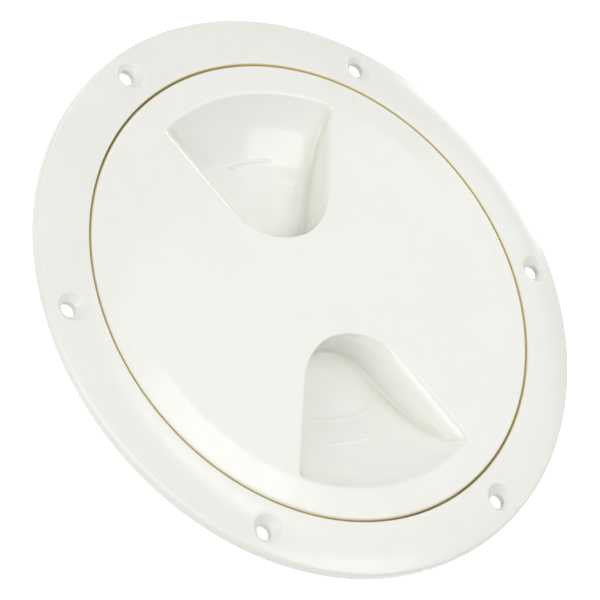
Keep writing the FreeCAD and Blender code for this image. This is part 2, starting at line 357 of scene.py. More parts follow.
def between(ends, part):
    return ends[0] + (ends[1] - ends[0]) * part


def outline(depth, grow=0.0, rounded=True):
    """The outline's side directions, tip centre and tip radius at a depth, offset by grow."""
    steep_part = share(depth, STEEP_ROUNDING, rounded)
    broad_part = share(depth, BROAD_ROUNDING, rounded)
    steep = np.radians(between(STEEP_ANGLE, steep_part))
    broad = np.radians(between(BROAD_ANGLE, broad_part))
    tip = between(TIP_RADIUS, (steep_part + broad_part) / 2) + grow
    steep_in = between(STEEP_OFFSET, steep_part) + grow - tip
    broad_in = between(BROAD_OFFSET, broad_part) + grow - tip
    scale = -np.cos(steep) * np.sin(broad) - np.sin(steep) * np.cos(broad)
    centre_x = (-steep_in * np.sin(broad) + broad_in * np.sin(steep)) / scale
    centre_y = (broad_in * np.cos(steep) + steep_in * np.cos(broad)) / scale
    return steep, broad, centre_x, centre_y, tip


def inside_outline(x, y, depth, grow=0.0, rounded=True):
    """How far plan points lie inside the outline at a depth: negative outside it."""
    steep, broad, cx, cy, tip = outline(depth, grow, rounded)
    dx, dy = x - cx, y - cy
    past_steep = dx * np.cos(steep) - dy * np.sin(steep)
    past_broad = -dx * np.cos(broad) - dy * np.sin(broad)
    before_steep = dx * np.sin(steep) + dy * np.cos(steep) < 0
    before_broad = -dx * np.sin(broad) + dy * np.cos(broad) < 0
    in_tip = before_steep & before_broad
    return tip - np.where(in_tip, np.hypot(dx, dy), np.maximum(past_steep, past_broad))


print("pocket tip centre at its top", [round(float(v), 2) for v in outline(0.0)[2:]])

# %% [markdown]
# A pocket's floor is turned about the lid's axis: flat near the tip, then rising in one long
# scoop to the lid's top. So its height depends on radius alone, and one arc gives it.

# %% The pocket's floor
POCKET_FLAT_RADIUS = 32.0
EDGE_BLEND = 0.7
SCOOP_WIDTH = PLATEAU_RADIUS - POCKET_FLAT_RADIUS
SCOOP_RADIUS = (SCOOP_WIDTH ** 2 + POCKET_DEPTH ** 2) / (2 * POCKET_DEPTH)
SCOOP_LIMIT = 0.95


def scoop_level(radius):
    """The floor as one arc that leaves the flat smoothly and meets the plateau's edge."""
    out = np.clip(radius - POCKET_FLAT_RADIUS, 0, SCOOP_RADIUS * SCOOP_LIMIT)
    return LID_TOP - POCKET_DEPTH + SCOOP_RADIUS - np.sqrt(SCOOP_RADIUS ** 2 - out ** 2)


def floor_level(radius):
    return smooth_min(scoop_level(radius), LID_TOP, EDGE_BLEND)


print("scoop radius", round(SCOOP_RADIUS, 1), "over a width of", round(SCOOP_WIDTH, 1))

# %% [markdown]
# ## Marks on the lid
#
# A hair-line groove on the lid's outer slope shows how far it is turned. On each pocket's floor
# stand a low curved arrow for the way to turn, and a hair line as the insert of a mould leaves
# it. Each is a small height added to the surface, so the marks need no pieces of their own.

# %% Index mark, arrow and hair line
INDEX_ANGLE = math.radians(60.0)
INDEX_HALF = (2.5, 0.175)
INDEX_MIDDLE = PLATEAU_RADIUS + 5.4
INDEX_DEPTH = 0.2
INDEX_EDGE = 0.12
ARROW_RADIUS = 45.0
ARROW_ANGLE = math.radians(94.0)
ARROW_HALF_WIDTH = 0.55
ARROW_HEAD_HALF_WIDTH = 1.7
ARROW_TAIL = 8.0
ARROW_NECK = 5.0
ARROW_TIP = 8.6
ARROW_OVERLAP = 0.3
ARROW_EDGE = 0.3
ARROW_HEIGHT = 0.22
WITNESS_RADIUS = 37.4
WITNESS_WIDTH = 0.16
WITNESS_HEIGHT = 0.05


def index_groove(x, y):
    """How deep the index mark is cut."""
    along = x * math.cos(INDEX_ANGLE) + y * math.sin(INDEX_ANGLE) - INDEX_MIDDLE
    across = -x * math.sin(INDEX_ANGLE) + y * math.cos(INDEX_ANGLE)
    inside = np.minimum(INDEX_HALF[0] - np.abs(along), INDEX_HALF[1] - np.abs(across))
    return INDEX_DEPTH * eased(inside / INDEX_EDGE + 0.5)


def arrow_inside(x, y):
    """How far a point of the floor lies inside the curved arrow that shows which way to turn."""
    along = (np.arctan2(y, x) - ARROW_ANGLE) * ARROW_RADIUS
    across = np.abs(np.hypot(x, y) - ARROW_RADIUS)
    from_ends = np.minimum(along + ARROW_TAIL, ARROW_NECK + ARROW_OVERLAP - along)
    shaft = np.minimum(ARROW_HALF_WIDTH - across, from_ends)
    taper = ARROW_HEAD_HALF_WIDTH / (ARROW_TIP - ARROW_NECK)
    from_sides = ((ARROW_TIP - along) * taper - across) * math.cos(math.atan(taper))
    return np.maximum(shaft, np.minimum(along - ARROW_NECK, from_sides))


def floor_marks(x, y, radius):
    """What stands proud of the floor: the arrow, and the hair line."""
    witness = np.exp(-((radius - WITNESS_RADIUS) / WITNESS_WIDTH) ** 2)
    return ARROW_HEIGHT * eased(arrow_inside(x, y) / ARROW_EDGE) + WITNESS_HEIGHT * witness


print("arrow spans", ARROW_TAIL + ARROW_TIP, "mm, index mark", 2 * INDEX_HALF[0], "mm")

# %% [markdown]
# ## The lid's top
#
# The top is a plateau with a gentle slope round it, and the two pockets. One function gives
# its height anywhere: the empty space above the plateau and the empty space in a pocket are
# joined smoothly, and the surface is the bottom of that space. The lip of a pocket comes out
# rounded, and its floor runs into its walls with a fillet.

# %% Height of the lid's top
POCKET_FILLET = 1.5
LIP_BLEND = 0.16
CREASE_BLEND = 0.05
SLOPE_WIDTH = LID_RADIUS - PLATEAU_RADIUS


def to_first_pocket(x, y):
    """Plan points brought to the +Y pocket: the other one is the same, half a turn round."""
    side = np.where(y < 0, -1.0, 1.0)
    return x * side, y * side


def plateau_level(radius):
    slope = LID_TOP - (radius - PLATEAU_RADIUS) * (LID_TOP - JOINT_TOP) / SLOPE_WIDTH
    return smooth_min(LID_TOP, slope, CREASE_BLEND)


def lid_top_level(x, y):
    radius = np.hypot(x, y)
    px, py = to_first_pocket(x, y)
    top = plateau_level(radius)
    floor = floor_level(radius) + floor_marks(px, py, radius)

    def empty(z):
        depth = np.clip(LID_TOP - z, 0, POCKET_DEPTH + POCKET_WALL)
        hollow = smooth_min(inside_outline(px, py, depth), z - floor, POCKET_FILLET)
        return smooth_max(z - top, hollow, LIP_BLEND)

    level = height_by_halving(empty, LID_TOP - POCKET_DEPTH - 1, LID_TOP + 0.01, radius.shape)
    return level - index_groove(x, y)


along_y = np.array((0.0, 25.0, 45.0, PLATEAU_RADIUS))
print("heights on the way out through a pocket:", lid_top_level(0 * along_y, along_y).round(2))

# %% [markdown]
# ## The pockets' walls
#
# A pocket's wall is nearly upright, so points scattered over the plan would crowd together
# there and join into slivers. A band of grid covers it instead, from the floor beside its foot
# to the plateau beside its lip. Its long edges follow the two outlines. Near the lid's edge
# their points lie at set radii, so that one cross line runs along the arc where the floor
# meets the top.

# %% The long edges of a band
BAND_TIP = 92
BAND_SIDE = 34
WALL_FOOT = -2.6
WALL_LIP = 0.9
ARC_RADII = PLATEAU_RADIUS + np.array((
    -4, -3.4, -2.8, -2.2, -1.7, -1.3, -1, -0.75, -0.55, -0.38, -0.24, -0.12,
    0, 0.1, 0.22, 0.4, 0.7, 1.1))


def band_edge(depth, grow, rounded, radii, tip_count=BAND_TIP, side_count=BAND_SIDE):
    """One long edge of a band: down the steep side, round the tip and up the broad side."""
    steep, broad, cx, cy, tip = [float(v) for v in outline(np.float64(depth), grow, rounded)]
    centre = np.array((cx, cy))
    outs = np.array(((math.cos(steep), -math.sin(steep)), (-math.cos(broad), -math.sin(broad))))
    ways = np.array(((math.sin(steep), math.cos(steep)), (-math.sin(broad), math.cos(broad))))
    sides = []
    for out, way in zip(outs, ways):
        start = centre + out * tip
        level = start @ way
        steps = np.linspace(np.linalg.norm(start), radii[0], side_count, endpoint=False)
        wanted = np.concatenate((steps, radii))
        lengths = np.sqrt(level ** 2 + wanted ** 2 - start @ start) - level
        sides.append(start + lengths[:, None] * way)
    swing = np.linspace(0, math.acos(outs[0] @ outs[1]), tip_count)[1:-1]
    angles = math.atan2(outs[0][1], outs[0][0]) - swing
    tip_points = centre + tip * np.column_stack((np.cos(angles), np.sin(angles)))
    return np.vstack((sides[0][::-1], tip_points, sides[1]))


wall_foot = band_edge(POCKET_DEPTH, WALL_FOOT, True, ARC_RADII)
wall_lip = band_edge(0.0, WALL_LIP, True, ARC_RADII)
print("cross lines of the wall band:", len(wall_foot))

# %% [markdown]
# Between its two long edges a band has equally many rows everywhere. They are placed by length
# and by bend, so that they are closest where the surface curves, and then evened out from one
# cross line to the next, so that no face is twisted.

# %% The grid between them
LID_COUNT = 288
BAND_ROWS = 46
BAND_FINE = 401
BAND_SMOOTHINGS = 4
BEND_WEIGHT = 4.0


def band(inner, outer, level, radii, tip_count=BAND_TIP, side_count=BAND_SIDE, rows=BAND_ROWS):
    """A grid between two long edges: its points, its faces and its plan outline."""
    count = len(inner)
    ramp = np.concatenate((np.linspace(0, 1, side_count, endpoint=False), np.ones(len(radii))))
    keeps_circle = np.concatenate((ramp[::-1], np.zeros(tip_count - 2), ramp))
    inner_radius = np.linalg.norm(inner, axis=1)[:, None]
    outer_radius = np.linalg.norm(outer, axis=1)[:, None]

    def place(part):
        """Plan points at a share of the way across, kept to circles near the lid's edge."""
        flat = inner[:, None] * (1 - part)[..., None] + outer[:, None] * part[..., None]
        wanted = inner_radius * (1 - part) + outer_radius * part
        stretch = wanted / np.linalg.norm(flat, axis=2) - 1
        return flat * (1 + keeps_circle[:, None] * stretch)[..., None]

    parts = np.broadcast_to(np.linspace(0, 1, BAND_FINE), (count, BAND_FINE))
    fine = place(parts)
    rise = np.diff(level(fine[..., 0], fine[..., 1]), axis=1)
    run = np.linalg.norm(np.diff(fine, axis=1), axis=2)
    slope = np.arctan2(rise, run)
    bend = np.abs(np.diff(slope, axis=1, prepend=slope[:, :1]))
    cost = np.cumsum(np.hypot(rise, run) + BEND_WEIGHT * bend, axis=1)
    cost = np.hstack((np.zeros((count, 1)), cost))
    cost /= cost[:, -1:]
    even = np.linspace(0, 1, rows + 1)
    chosen = np.array([np.interp(even, row, parts[0]) for row in cost])
    for _ in range(BAND_SMOOTHINGS):
        chosen[1:-1] = (chosen[:-2] + 2 * chosen[1:-1] + chosen[2:]) / 4
    plan = place(chosen)
    points = np.dstack((plan, level(plan[..., 0], plan[..., 1])))
    wide = rows + 1
    faces = [(i * wide + k, i * wide + k + 1, (i + 1) * wide + k + 1, (i + 1) * wide + k)
             for i in range(count - 1) for k in range(rows)]
    edge = np.vstack((plan[:, 0], plan[-1, 1:-1], plan[::-1, -1], plan[0, -2:0:-1]))
    return points.reshape(-1, 3), faces, edge


def turned_half(points):
    """The same points half a turn round the lid's axis."""
    return points * np.array((-1, -1, 1))[:points.shape[1]]


wall_band = band(wall_foot, wall_lip, lid_top_level, ARC_RADII)
print("wall band:", len(wall_band[0]), "points, edge of", len(wall_band[2]))

# %% [markdown]
# The rest of the top is scattered: rows on the floor and round the lip, the arrow, the hair
# line, the arc where the floor meets the top, the crease of the outer slope, and the index
# mark. Each kind has its own spacing, and keeps a gap from the points that are already there.

# %% Points for the rest of the lid's top
WITNESS_ROWS = WITNESS_RADIUS + np.array((-0.3, -0.15, 0.0, 0.15, 0.3))
SLOPE_ROWS = PLATEAU_RADIUS + np.array((
    -2.4, -1.6, -0.9, -0.4, -0.15, 0, 0.15, 0.4, 0.9, 1.6, 2.4, 4.0, 6.0, 7.4))
LIP_ROWS = (0.7, 1.5, 2.6)
ARROW_ALONG_ROWS = np.arange(-ARROW_TAIL - 0.6, ARROW_TIP + 0.6, 0.24)
ARROW_ACROSS_ROWS = np.arange(-2.2, 2.21, 0.22)
INDEX_ALONG_ROWS = np.linspace(-2.8, 2.8, 24)
INDEX_ACROSS_ROWS = np.linspace(-0.33, 0.33, 12)
WITNESS_COUNT = 400
ARC_START = 4
ARC_SPACING, ARC_GAP = 0.8, 0.1
MARK_GAP = 0.16
FLOOR_STEP, FLOOR_SPACING, FLOOR_GAP = 0.8, 0.9, 0.4
FLOOR_SPAN = (21.0, PLATEAU_RADIUS - 2.2)
SLOPE_GAP = 0.3
LIP_SPACING, LIP_GAP = 0.7, 0.5
INDEX_GAP = 0.02
PLATEAU_SPACING, PLATEAU_GAP = 3.0, 1.8


def doubled(points):
    """Points at one pocket, and the same points at the other."""
    return np.vstack((points, turned_half(points)))


def without_bands(kept, half, edge):
    """What is kept, less the two bands' own edges and all that lies inside the bands."""
    loose = np.delete(kept, np.r_[0:len(edge), half:half + len(edge)], axis=0)
    return loose[~inside_polygon(loose, edge) & ~inside_polygon(loose, turned_half(edge))]


def lip_row(offset):
    """Plan points beside a pocket's lip, out to the plateau's edge."""
    row = band_edge(0.0, WALL_LIP + offset, True, ARC_RADII[:1])
    step = np.linalg.norm(np.diff(row, axis=0), axis=1).mean()
    return row[::max(1, int((LIP_SPACING + offset) / step))]


def arrow_points():
    """A fine grid over the curved arrow and a little beyond it."""
    grid = [(ARROW_RADIUS + v, ARROW_ANGLE + u / ARROW_RADIUS)
            for u in ARROW_ALONG_ROWS for v in ARROW_ACROSS_ROWS]
    return np.array([(r * math.cos(a), r * math.sin(a)) for r, a in grid])


def index_points():
    """A fine grid over the index mark."""
    grid = [(u, v) for u in INDEX_ALONG_ROWS for v in INDEX_ACROSS_ROWS]
    c, s = math.cos(INDEX_ANGLE), math.sin(INDEX_ANGLE)
    return (np.array(grid) + (INDEX_MIDDLE, 0)) @ np.array(((c, s), (-s, c)))


def lid_top_points(edge):
    """The scattered points of the lid's top, outside the bands with this edge."""
    floor_points = spread_circles(np.arange(*FLOOR_SPAN, FLOOR_STEP), FLOOR_SPACING)
    inside = inside_outline(*floor_points.T, np.float64(0.0)) > 0
    kept = layered(edge, (
        (np.vstack((arrow_points(), circles(WITNESS_ROWS, WITNESS_COUNT))), MARK_GAP),
        (spread_circles(ARC_RADII[ARC_START:], ARC_SPACING), ARC_GAP),
        (floor_points[inside], FLOOR_GAP)))[len(edge):]
    inside = inside_outline(*kept.T, np.float64(0.0)) > 0
    kept = kept[inside & (kept[:, 1] > 0)]
    kept = doubled(np.vstack((edge, kept[~inside_polygon(kept, edge)])))
    half = len(kept) // 2
    plateau_radii = np.arange(0.5, PLATEAU_RADIUS - PLATEAU_SPACING, PLATEAU_SPACING)
    kept = layered(kept, (
        (circles(SLOPE_ROWS, LID_COUNT), SLOPE_GAP),
        (doubled(np.vstack([lip_row(offset) for offset in LIP_ROWS])), LIP_GAP),
        (index_points(), INDEX_GAP),
        (spread_circles(plateau_radii, PLATEAU_SPACING), PLATEAU_GAP)))
    return without_bands(kept, half, edge)


EDGE_START = LID_RADIUS - LID_EDGE * 1.6
lid_rim_loop = circle(EDGE_START, LID_COUNT)
lid_top_loops = [lid_rim_loop, wall_band[2], turned_half(wall_band[2])]
lid_top = scattered_patch(lid_top_loops, lid_top_points(wall_band[2]), lid_top_level)
print("lid top:", len(lid_top[0]), "points, lowest of its walls", wall_band[0][:, 2].min().round(2))

# %% [markdown]
# ## The lid's underside
#
# Seen from below, the lid is a thin plate inside a deep skirt, with the two pockets hanging
# down as shells of even thickness. The same outline gives them, grown by the wall. The height
# is the bottom of what is solid: plate, shell or skirt, joined smoothly.

# %% Height of the lid's underside
SHELL_EDGE = 2.2
UNDERSIDE_FILLET = 1.6


def lid_underside_level(x, y):
    radius = np.hypot(x, y)
    px, py = to_first_pocket(x, y)
    floor = floor_level(radius) - POCKET_WALL

    def solid(z):
        depth = np.clip(LID_TOP - POCKET_WALL - z, 0, POCKET_DEPTH + POCKET_WALL)
        walls = inside_outline(px, py, depth, POCKET_WALL, False)
        shell = smooth_min(walls, z - floor, SHELL_EDGE)
        plate = smooth_max(z - PLATE_UNDERSIDE, shell, UNDERSIDE_FILLET)
        return smooth_max(plate, radius - SKIRT_INNER - WELD, UNDERSIDE_FILLET)

    return height_by_halving(solid, LID_TOP - POCKET_DEPTH - POCKET_WALL - 1, LID_TOP, radius.shape)


print("underside at the middle:", lid_underside_level(np.zeros(1), np.zeros(1)).round(2))

# %% [markdown]
# The shells get bands like the walls of the pockets, but coarser, because they are seen only
# when the lid is out. The plate between them is scattered.

# %% Sheets of the lid's underside
SHELL_RADII = SKIRT_INNER + np.array((-6, -5.2, -4.4, -3.7, -3.1, -2.6, -2.2, -1.9))
SHELL_GRID = {"tip_count": 48, "side_count": 16}
SHELL_ROWS = 26
SHELL_FOOT = POCKET_WALL - 3.4
SHELL_LIP = POCKET_WALL + 2.4
SKIRT_ROWS = SKIRT_INNER - np.array((0.05, 0.15, 0.3, 0.5, 0.8, 1.2, 1.7, 2.6))
SKIRT_GAP = 0.04
SHELL_START, SHELL_STEP, SHELL_SPACING, SHELL_GAP = 16.0, 1.6, 1.8, 0.8
SHELL_GROW = POCKET_WALL + 2
UNDER_SPACING, UNDER_GAP = 4.0, 2.4
shell_band = band(
    band_edge(POCKET_DEPTH, SHELL_FOOT, False, SHELL_RADII, **SHELL_GRID),
    band_edge(0.0, SHELL_LIP, False, SHELL_RADII, **SHELL_GRID),
    lid_underside_level, SHELL_RADII, rows=SHELL_ROWS, **SHELL_GRID)


def lid_underside_points(edge):
    """The scattered points of the lid's underside, outside the bands with this edge."""
    shell_points = spread_circles(np.arange(SHELL_START, SKIRT_INNER, SHELL_STEP), SHELL_SPACING)
    inside = inside_outline(*shell_points.T, np.float64(0.0), SHELL_GROW) > 0
    kept = doubled(spaced(edge, shell_points[inside & (shell_points[:, 1] > 0)], SHELL_GAP))
    half = len(kept) // 2
    plate_radii = np.arange(1.0, SKIRT_INNER - 3, UNDER_SPACING)
    kept = layered(kept, (
        (circles(SKIRT_ROWS, LID_COUNT), SKIRT_GAP),
        (spread_circles(plate_radii, UNDER_SPACING), UNDER_GAP)))
    return without_bands(kept, half, edge)


lid_underside_loop = circle(SKIRT_INNER, LID_COUNT)
lid_underside = scattered_patch(
    [lid_underside_loop, shell_band[2], turned_half(shell_band[2])],
    lid_underside_points(shell_band[2]), lid_underside_level, False)
print("lid underside:", len(lid_underside[0]), "points, lowest", shell_band[0][:, 2].min().round(2))

# %% [markdown]
# ## The coarse thread
#
# A screwed lid of this size has a coarse thread of little more than one turn. A separate ridge
# pushed into the wall would leave the wall running on inside it. So the wall itself is a grid
# whose rows climb with the thread, and the ridge is where the grid stands off.

# %% A wall whose grid rows climb with the thread
THREAD_ROOT_HALF = 1.5
THREAD_CREST_HALF = 0.7
RUN_OUT = 5.0
THREAD_PHASES = np.array((
    -2.3, -1.9, -1.62, -1.5, -1.38, -1.1, -0.84, -0.7, -0.56, -0.2,
    0.2, 0.56, 0.7, 0.84, 1.1, 1.38, 1.5, 1.62, 1.9, 2.3))
THREAD_EDGE = 0.1
BARE_WALL = THREAD_HEIGHT * THREAD_EDGE / 3.9  # just over what the smooth maximum leaves there
THREAD_LAPS = np.arange(-2, 4)
SNAP = 0.03


def ridge_height(turns, z, top, circumference):
    """How far the ridge stands off its wall, at an angle in turns and a height."""
    bottom = top - PITCH * THREAD_TURNS
    height = np.zeros_like(z)
    for lap in (0, 1):
        along = turns + lap
        away = np.abs(z - bottom - PITCH * along)
        flank = (THREAD_ROOT_HALF - away) / (THREAD_ROOT_HALF - THREAD_CREST_HALF)
        ends = np.minimum(along, THREAD_TURNS - along) * circumference / RUN_OUT
        part = smooth_min(smooth_min(flank, 1.0, THREAD_EDGE), ends, THREAD_EDGE)
        height = np.maximum(height, THREAD_HEIGHT * smooth_max(part, 0.0, THREAD_EDGE))
    return np.where(height < BARE_WALL, 0, height)


def threaded_wall(radius, outward, top, bottom, thread_top, count):
    """The wall between two heights, as a grid with the thread's ridge standing off it."""
    per_lap = len(THREAD_PHASES)
    thread_bottom = thread_top - PITCH * THREAD_TURNS
    offsets = (THREAD_LAPS[:, None] * PITCH + THREAD_PHASES).ravel() + thread_bottom
    columns = []
    for i in range(count):
        z = np.clip(offsets + PITCH * i / count, bottom, top)
        z = np.where(z < bottom + SNAP, bottom, np.where(z > top - SNAP, top, z))
        r = radius + outward * ridge_height(i / count, z, thread_top, 2 * math.pi * radius)
        angle = 2 * math.pi * i / count
        columns.append(np.column_stack((r * math.cos(angle), r * math.sin(angle), z)))
    rows = len(offsets)
    faces = []
    for i in range(count):
        shift = per_lap if i == count - 1 else 0
        j = (i + 1) % count
        for k in range(rows - 1 - shift):
            a, b = i * rows + k, j * rows + k + shift
            sides = (columns[i][k:k + 2, 2], columns[j][k + shift:k + shift + 2, 2])
            if any(low < top and high > bottom for low, high in sides):
                faces.append((a, b, b + 1, a + 1))
    return np.vstack(columns), faces


SKIRT_BAND = (SKIRT_TOP - 0.6, SKIRT_BOTTOM + 1.1)
lid_thread = threaded_wall(SKIRT_RADIUS, 1, *SKIRT_BAND, LID_THREAD_TOP, LID_COUNT)
print("lid thread:", len(lid_thread[0]), "points")

# %% [markdown]
# ## The lid's rim, shoulder and skirt
#
# The rest of the lid is turned. Its rim rolls over softly into the joint, the shoulder below
# it carries the seal, and the skirt holds the thread. Each run ends exactly where the next
# patch starts, so that everything can be welded into one closed skin.

# %% Turned runs of the lid
STRIP_BOTTOM = SKIRT_BOTTOM + 2
STRIP_ROWS = 9
rim_run = softened([
    (EDGE_START, float(plateau_level(np.array([EDGE_START]))[0]), 0),
    (LID_RADIUS, JOINT_TOP, LID_EDGE),
    (LID_RADIUS, RIM_UNDERSIDE, 0.3),
    (SHOULDER_RADIUS, RIM_UNDERSIDE, 0.4),
    (SHOULDER_RADIUS, SHOULDER_BOTTOM, 0.3),
    (SKIRT_RADIUS, SKIRT_TOP, 0.4),
    (SKIRT_RADIUS, SKIRT_BAND[0], 0),
])
skirt_foot_run = softened([
    (SKIRT_RADIUS, SKIRT_BAND[1], 0),
    (SKIRT_RADIUS, SKIRT_BOTTOM, 0.8),
    (SKIRT_INNER, SKIRT_BOTTOM, 0.4),
    (SKIRT_INNER, STRIP_BOTTOM, 0),
])
lid_runs = [turned_patch(rim_run, LID_COUNT), turned_patch(skirt_foot_run, LID_COUNT)]

strip_top = lid_underside_level(*lid_underside_loop.T)
strip_points = np.vstack([
    np.column_stack((lid_underside_loop, STRIP_BOTTOM + (strip_top - STRIP_BOTTOM) * part))
    for part in np.linspace(0, 1, STRIP_ROWS)])
strip = (strip_points, swept_faces(STRIP_ROWS, LID_COUNT))
lid_patches = [lid_top, lid_underside, lid_thread, *lid_runs, strip]
for points, faces, _ in (wall_band, shell_band):
    lid_patches += [(points, faces), (turned_half(points), faces)]
print("lid patches:", [len(points) for points, _ in lid_patches])

# %% [markdown]
# ## The flange
#
# The ring's top is gently crowned: it falls away from the joint, and more quickly near its
# outer edge. Three points on it give the crown's arc. Six countersinks are cut in it, with a
# slightly softened lip. Its underside is cored out to an even wall, with a boss left round
# each screw.

# %% Height of the flange's top and underside
RING_COUNT = 360
HOLE_COUNT = 60
CROWN = ((FLANGE_RADIUS - 1.1, 3.2), (SCREW_CIRCLE_RADIUS, 4.05), (SEAT_RADIUS + 0.5, JOINT_TOP))
CONE_BOTTOM = 2.035
COUNTERSINK_LIP = 0.3
RELIEF = (SPIGOT_RADIUS + 3.0, FLANGE_RADIUS - 3.0)
RELIEF_BLEND = 0.6
RELIEF_DEPTH = 1.2
BOSS_RADIUS = 5.4
RELIEF_DRAFT = 0.12

(ax, az), (bx, bz), (cx, cz) = CROWN
sides = np.array(((bx - ax, bz - az), (cx - ax, cz - az)))
squares = np.array((bx ** 2 - ax ** 2 + bz ** 2 - az ** 2, cx ** 2 - ax ** 2 + cz ** 2 - az ** 2)) / 2
crown_r, crown_z = np.linalg.solve(sides, squares)
CROWN_RADIUS = math.hypot(ax - crown_r, az - crown_z)
screw_places = circle(SCREW_CIRCLE_RADIUS, SCREW_COUNT)


def crown_level(radius):
    return crown_z + np.sqrt(CROWN_RADIUS ** 2 - (radius - crown_r) ** 2)


def from_screw(x, y):
    """Distance from the nearest screw's axis."""
    return np.min([np.hypot(x - px, y - py) for px, py in screw_places], axis=0)


def flange_level(x, y):
    """The crown, or a countersink's cone where that is lower."""
    cone = CONE_BOTTOM + from_screw(x, y) - HOLE_RADIUS
    return smooth_min(crown_level(np.hypot(x, y)), cone, COUNTERSINK_LIP)


def relief_level(x, y):
    """How high the flange's underside is cored out."""
    radius = np.hypot(x, y)
    inside = smooth_min(radius - RELIEF[0], RELIEF[1] - radius, RELIEF_BLEND)
    inside = smooth_min(inside, from_screw(x, y) - BOSS_RADIUS, RELIEF_BLEND)
    return RELIEF_DEPTH * eased(inside / RELIEF_DRAFT)


print("crown radius", round(CROWN_RADIUS), "mm, screws at", screw_places.round(1).tolist())

# %% [markdown]
# The points of both sheets follow the same idea as on the lid: close rows round the
# countersinks, the bosses and the edges of the relief, and even circles between them.

# %% Sheets of the flange
SINK_ROWS = (2.85, 3.1, 3.4, 3.7, 3.95, 4.1, 4.2, 4.3, 4.4, 4.5, 4.65, 4.9)
SINK_CLEAR = 5.3
HOLE_ROWS = (2.9, 3.4, 4.2)
LOOP_CLEAR = 0.2
FLANGE_SPACING = 1.0
RELIEF_SPACING, RELIEF_GAP = 1.6, 0.7
DRAFT_ROWS = np.array((-0.25, 0.0, 0.04, 0.08, 0.12, 0.4))


def around_screws(radii):
    return np.vstack([circle(r, HOLE_COUNT, place) for r in radii for place in screw_places])


def sheet_loops(outer, inner, hole):
    """The edges of a sheet: its outer and inner circle, and a circle round each screw."""
    return [circle(outer, RING_COUNT), circle(inner, RING_COUNT),
            *(circle(hole, HOLE_COUNT, place) for place in screw_places)]


def in_annulus(plan, inner, outer):
    """The plan points between two circles, and clear of both."""
    radius = np.hypot(plan[:, 0], plan[:, 1])
    return plan[(radius > inner + LOOP_CLEAR) & (radius < outer - LOOP_CLEAR)]


FLANGE_INNER = SEAT_RADIUS + 1.2
FLANGE_OUTER = FLANGE_RADIUS - 1.9
SINK_FOOT = HOLE_RADIUS + 0.4
sink_points = in_annulus(around_screws(SINK_ROWS), FLANGE_INNER, FLANGE_OUTER)
flange_radii = np.arange(FLANGE_INNER + 0.6, FLANGE_OUTER - LOOP_CLEAR, FLANGE_SPACING)
flange_fill = circles(flange_radii, RING_COUNT)
flange_fill = flange_fill[from_screw(*flange_fill.T) > SINK_CLEAR]
flange_loops = sheet_loops(FLANGE_OUTER, FLANGE_INNER, SINK_FOOT)
flange = scattered_patch(flange_loops, np.vstack((sink_points, flange_fill)), flange_level)

UNDER_INNER = SPIGOT_RADIUS + 0.8
UNDER_OUTER = FLANGE_RADIUS - 0.7
HOLE_MOUTH = HOLE_RADIUS + 0.3
relief_rows = np.vstack((
    around_screws((*(BOSS_RADIUS + DRAFT_ROWS), *HOLE_ROWS)),
    circles((*(RELIEF[0] + DRAFT_ROWS), *(RELIEF[1] - DRAFT_ROWS)), RING_COUNT)))
relief_radii = np.arange(UNDER_INNER + 1, UNDER_OUTER - 0.8, RELIEF_SPACING)
relief_points = spaced(relief_rows, circles(relief_radii, RING_COUNT // 2), RELIEF_GAP)
relief_points = in_annulus(relief_points, UNDER_INNER, UNDER_OUTER)
relief_points = relief_points[from_screw(*relief_points.T) > HOLE_MOUTH + 0.1]
under_loops = sheet_loops(UNDER_OUTER, UNDER_INNER, HOLE_MOUTH)
flange_under = scattered_patch(under_loops, relief_points, relief_level, False)
print("flange top:", len(flange[0]), "points; underside:", len(flange_under[0]), "points")

# %% [markdown]
# ## The seat, the collar and the screw holes
#
# The seat and the collar are turned runs with a threaded wall between them, and each screw
# hole is a small turned run about its own axis.

# %% Turned runs of the deck ring
BORE_BAND = (THROAT_BOTTOM - 0.9, COLLAR_BOTTOM + 0.5)
ring_thread = threaded_wall(BORE_RADIUS, -1, *BORE_BAND, RING_THREAD_TOP, RING_COUNT)
outer_run = softened([
    (FLANGE_OUTER, float(crown_level(FLANGE_OUTER)), 0),
    (FLANGE_RADIUS, float(crown_level(FLANGE_RADIUS)), 1.1),
    (FLANGE_RADIUS, 0.0, 0.25),
    (UNDER_OUTER, 0.0, 0),
])
seat_run = softened([
    (FLANGE_INNER, float(crown_level(FLANGE_INNER)), 0),
    (SEAT_RADIUS, JOINT_TOP, 0.5),
    (SEAT_RADIUS, SEAT_LEVEL, 0.3),
    (THROAT_RADIUS, SEAT_LEVEL, 0.25),
    (THROAT_RADIUS, THROAT_BOTTOM, 0.15),
    (BORE_RADIUS, THROAT_BOTTOM - 0.7, 0.2),
    (BORE_RADIUS, BORE_BAND[0], 0),
])
collar_run = softened([
    (BORE_RADIUS, BORE_BAND[1], 0),
    (BORE_RADIUS, COLLAR_BOTTOM, 0.3),
    (COLLAR_RADIUS, COLLAR_BOTTOM, 0.8),
    (COLLAR_RADIUS, SEAT_UNDERSIDE, 0.6),
    (SPIGOT_RADIUS, SEAT_UNDERSIDE, 0.8),
    (SPIGOT_RADIUS, 0.0, 0.3),
    (UNDER_INNER, 0.0, 0),
])
hole_run = softened([
    (SINK_FOOT, CONE_BOTTOM + SINK_FOOT - HOLE_RADIUS, 0),
    (HOLE_RADIUS, CONE_BOTTOM, 0.2),
    (HOLE_RADIUS, 0.0, 0.12),
    (HOLE_MOUTH, 0.0, 0),
])
ring_patches = [flange, flange_under, ring_thread]
ring_patches += [turned_patch(run, RING_COUNT) for run in (outer_run, seat_run, collar_run)]
ring_patches += [turned_patch(hole_run, HOLE_COUNT, place) for place in screw_places]
print("ring patches:", [len(points) for points, _ in ring_patches])

